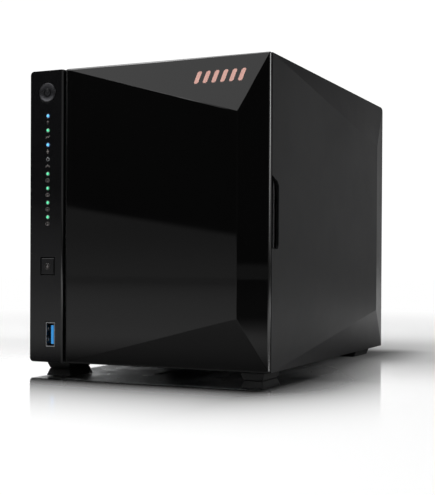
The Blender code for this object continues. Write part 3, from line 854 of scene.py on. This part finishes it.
def torusInto(bm, centre, radius, thickness, steps=72, sides=8):
    grid = []
    for i in range(steps):
        t = math.tau * i / steps
        grid.append([bm.verts.new((centre[0] + (radius + thickness * math.cos(p)) * math.cos(t),
                                   centre[1] + thickness * math.sin(p),
                                   centre[2] + (radius + thickness * math.cos(p)) * math.sin(t)))
                     for p in (math.tau * j / sides for j in range(sides))])
    for i in range(steps):
        for j in range(sides):
            bm.faces.new((grid[i][j], grid[(i + 1) % steps][j], grid[(i + 1) % steps][(j + 1) % sides],
                          grid[i][(j + 1) % sides]))


def buildGuard():
    x, z, w = fanLook["x"] * mm, fanLook["z"] * mm, guardLook["wire"] * mm
    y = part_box("fan_grille")[1][1] - w
    bm = bmesh.new()
    for radius in guardLook["rings"]:
        torusInto(bm, (x, y, z), radius * mm, w * 0.98)
    for i in range(guardLook["spokes"]):
        turn = Matrix.Rotation(math.radians(45 + 360 / guardLook["spokes"] * i), 4, "Y")
        before = set(bm.verts)
        addRod(bm, "X", (guardLook["spokeMiddle"] * mm, 0, 0), w * 0.8, guardLook["spokeLength"] * mm, 10)
        fresh = [v for v in bm.verts if v not in before]
        bmesh.ops.transform(bm, matrix=Matrix.Translation((x, y, z)) @ turn, verts=fresh)
    addRod(bm, "Y", (x, y, z), guardLook["plate"] * mm, 0.5 * mm, 48)
    bmesh.ops.recalc_face_normals(bm, faces=bm.faces)
    hand(newPiece("fingerGuard", bm, mat["nickelPlate"], 50.0), "case", "zinc_steel", "fan_grille")


def buildFanWheel():
    x, y, z = (fanLook[axis] * mm for axis in "xyz")
    bm = bmesh.new()
    # hub: radius and place along the spindle, in millimetres
    hub = [(0, 10.2), (16.5, 10.2), (18.0, 9.2), (18.4, 7.5), (18.4, -9.6), (17.8, -10.2), (0, -10.2)]
    addLathe(bm, (x, y, z), [(a * mm, b * mm) for a, b in hub], 64)
    # swept blades: each a curved sheet from hub to tip, with a little thickness
    count, n, m = fanLook["blades"], fanLook["rows"], fanLook["columns"]
    for blade in range(count):
        rows = []
        for i in range(n):
            out = i / (n - 1)
            radius = (fanLook["root"] + fanLook["span"] * out) * mm
            wide = fanLook["turn"] - fanLook["turnTaper"] * out
            pitch = fanLook["pitch"] * (1.0 - fanLook["pitchTaper"] * out)
            row = []
            for j in range(m):
                along = j / (m - 1) - 0.5
                angle = math.tau * blade / count + along * wide + fanLook["sweep"] * out ** 2
                lift = fanLook["camber"] * (1 - 4 * along * along) - 1.0 - along * pitch
                row.append((x + radius * math.cos(angle), y + lift * mm, z + radius * math.sin(angle)))
            rows.append(row)
        sheets = [[[bm.verts.new((p[0], p[1] + side * fanLook["thick"] / 2 * mm, p[2])) for p in row]
                   for row in rows] for side in (-1, 1)]
        for sheet in sheets:
            for i in range(n - 1):
                for j in range(m - 1):
                    bm.faces.new((sheet[i][j], sheet[i][j + 1], sheet[i + 1][j + 1], sheet[i + 1][j]))
        ring = [(i, 0) for i in range(n)] + [(n - 1, j) for j in range(1, m)] \
            + [(i, m - 1) for i in range(n - 2, -1, -1)] + [(0, j) for j in range(m - 2, 0, -1)]
        for (a, b), (c, d) in zip(ring, ring[1:] + ring[:1]):
            bm.faces.new((sheets[0][a][b], sheets[0][c][d], sheets[1][c][d], sheets[1][a][b]))
    bmesh.ops.recalc_face_normals(bm, faces=bm.faces)
    hand(newPiece("fanWheel", bm, mat["fanPbt"], 40.0), "fan_wheel", "fan_black", "fan_rotor")


def buildSockets():
    for i in (1, 2):
        node = f"lan_socket_{i}"
        finer(f"lanShell{i}", node, "case", mat["nickelPlate"], "zinc_steel", 0.2 * mm, 2)
        low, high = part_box(node)
        z = (low[2] + high[2]) / 2
        contact = bmesh.new()
        addBlock(contact, (-0.15 * mm, -4.0 * mm, -0.2 * mm), (0.15 * mm, 4.0 * mm, 0.2 * mm))
        points = [(low[0] + 2.2 * mm, high[1] - 6.0 * mm, z + (j - 3.5) * 1.02 * mm) for j in range(8)]
        hand(spread(f"lanContacts{i}", contact, points, mat["goldFinger"]), "case", "bright_steel")
        body = bmesh.new()
        for side in (-1, 1):
            addBlock(body, (low[0] + 1.5 * mm, high[1] - 7.0 * mm, z + side * 5.1 * mm - 0.75 * mm),
                     (high[0] - 2.1 * mm, high[1] - 0.5 * mm, z + side * 5.1 * mm + 0.75 * mm))
        hand(newPiece(f"lanBody{i}", body, mat["socketPbt"]), "case", "socket_black")
    finer("usbPair", "usb_rear_pair", "case", mat["nickelPlate"], "bright_steel", 0.12 * mm, 1)
    finer("powerInlet", "power_socket", "case", mat["socketPbt"], "socket_black", 0.2 * mm, 2)
    finer("resetKey", "reset_button", "reset_key", mat["socketPbt"], "socket_black", 0.15 * mm, 1)
    # pan head with a recess, and its shank: radius and depth in millimetres
    screwProfile = [(0, 0.55), (1.3, 0.5), (1.5, 0.05), (2.6, 0.12), (3.1, 0.6), (3.2, 1.35), (1.4, 1.4),
                    (1.4, 6.4), (0, 6.6)]
    for i in range(1, 4):
        node = f"cover_screw_{i}"
        low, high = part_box(node)
        x, z = (low[0] + high[0]) / 2, (low[2] + high[2]) / 2
        bm = bmesh.new()
        addLathe(bm, (x, high[1], z), [(a * mm, b * mm) for a, b in screwProfile], 32)
        hand(newPiece(f"coverScrew{i}", bm, mat["zincSteel"], 40.0), "case", "zinc_steel", node)


finer("rearPlate", "rear_panel", "case", mat["satinPaint"], "satin_grey", 0.2 * mm, 2)
buildGuard()
finer("fanFrame", "fan_frame", "case", mat["fanPbt"], "fan_black", 0.5 * mm, 2)
buildFanWheel()
buildSockets()
print("rear made")


boardLook = {"chipsFrom": (-80.0, 24.0), "chipsStep": (13.0, 11.0), "chipRows": 9, "chipColumns": 13,
             "cans": 6, "cansFrom": -86.0, "cansStep": 9.0, "cansHigh": 150.0, "canRadius": 2.5}


def buildBoards():
    paintNode(mat["boardMask"], "mainboard", "backplane", "front_board", "memory_module")
    finer("coolerFins", "heatsink", "case", mat["blastedAlloy"], "alloy_sink", 0.15 * mm, 1)
    finer("coinCell", "coin_cell", "case", mat["nickelPlate"], "bright_steel", 0.3 * mm, 2)
    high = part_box("mainboard")[1]
    chip = bmesh.new()
    addBlock(chip, (-0.5 * mm, -2.5 * mm, -2.0 * mm), (0.5 * mm, 2.5 * mm, 2.0 * mm))
    bmesh.ops.bevel(chip, geom=list(chip.edges), offset=0.15 * mm, segments=1, affect="EDGES")
    # a quarter of the grid's places carry a chip, and none under the cooler
    (fromY, fromZ), (stepY, stepZ) = boardLook["chipsFrom"], boardLook["chipsStep"]
    points = [(high[0] + 0.5 * mm, (fromY + stepY * i) * mm, (fromZ + stepZ * j) * mm)
              for i in range(boardLook["chipRows"]) for j in range(boardLook["chipColumns"])
              if (i * 7 + j * 5) % 4 == 0 and not (4 <= i <= 8 and 5 <= j <= 10)]
    hand(spread("boardChips", chip, points, mat["chipEpoxy"], 1.0, 0.5, 11), "case", "socket_black")
    can = bmesh.new()
    radius = boardLook["canRadius"] * mm
    addRod(can, "X", (radius, 0, 0), radius, radius * 2, 20)
    bmesh.ops.bevel(can, geom=list(can.edges), offset=0.3 * mm, segments=1, affect="EDGES")
    points = [(high[0], (boardLook["cansFrom"] + boardLook["cansStep"] * i) * mm, boardLook["cansHigh"] * mm)
              for i in range(boardLook["cans"])]
    hand(spread("boardCans", can, points, mat["blastedAlloy"]), "case", "alloy_sink")
    for k in range(1, 5):
        finer(f"driveSocket{k}", f"drive_socket_{k}", "case", mat["socketPbt"], "socket_black", 0.2 * mm, 1)


buildBoards()
print("boards made")
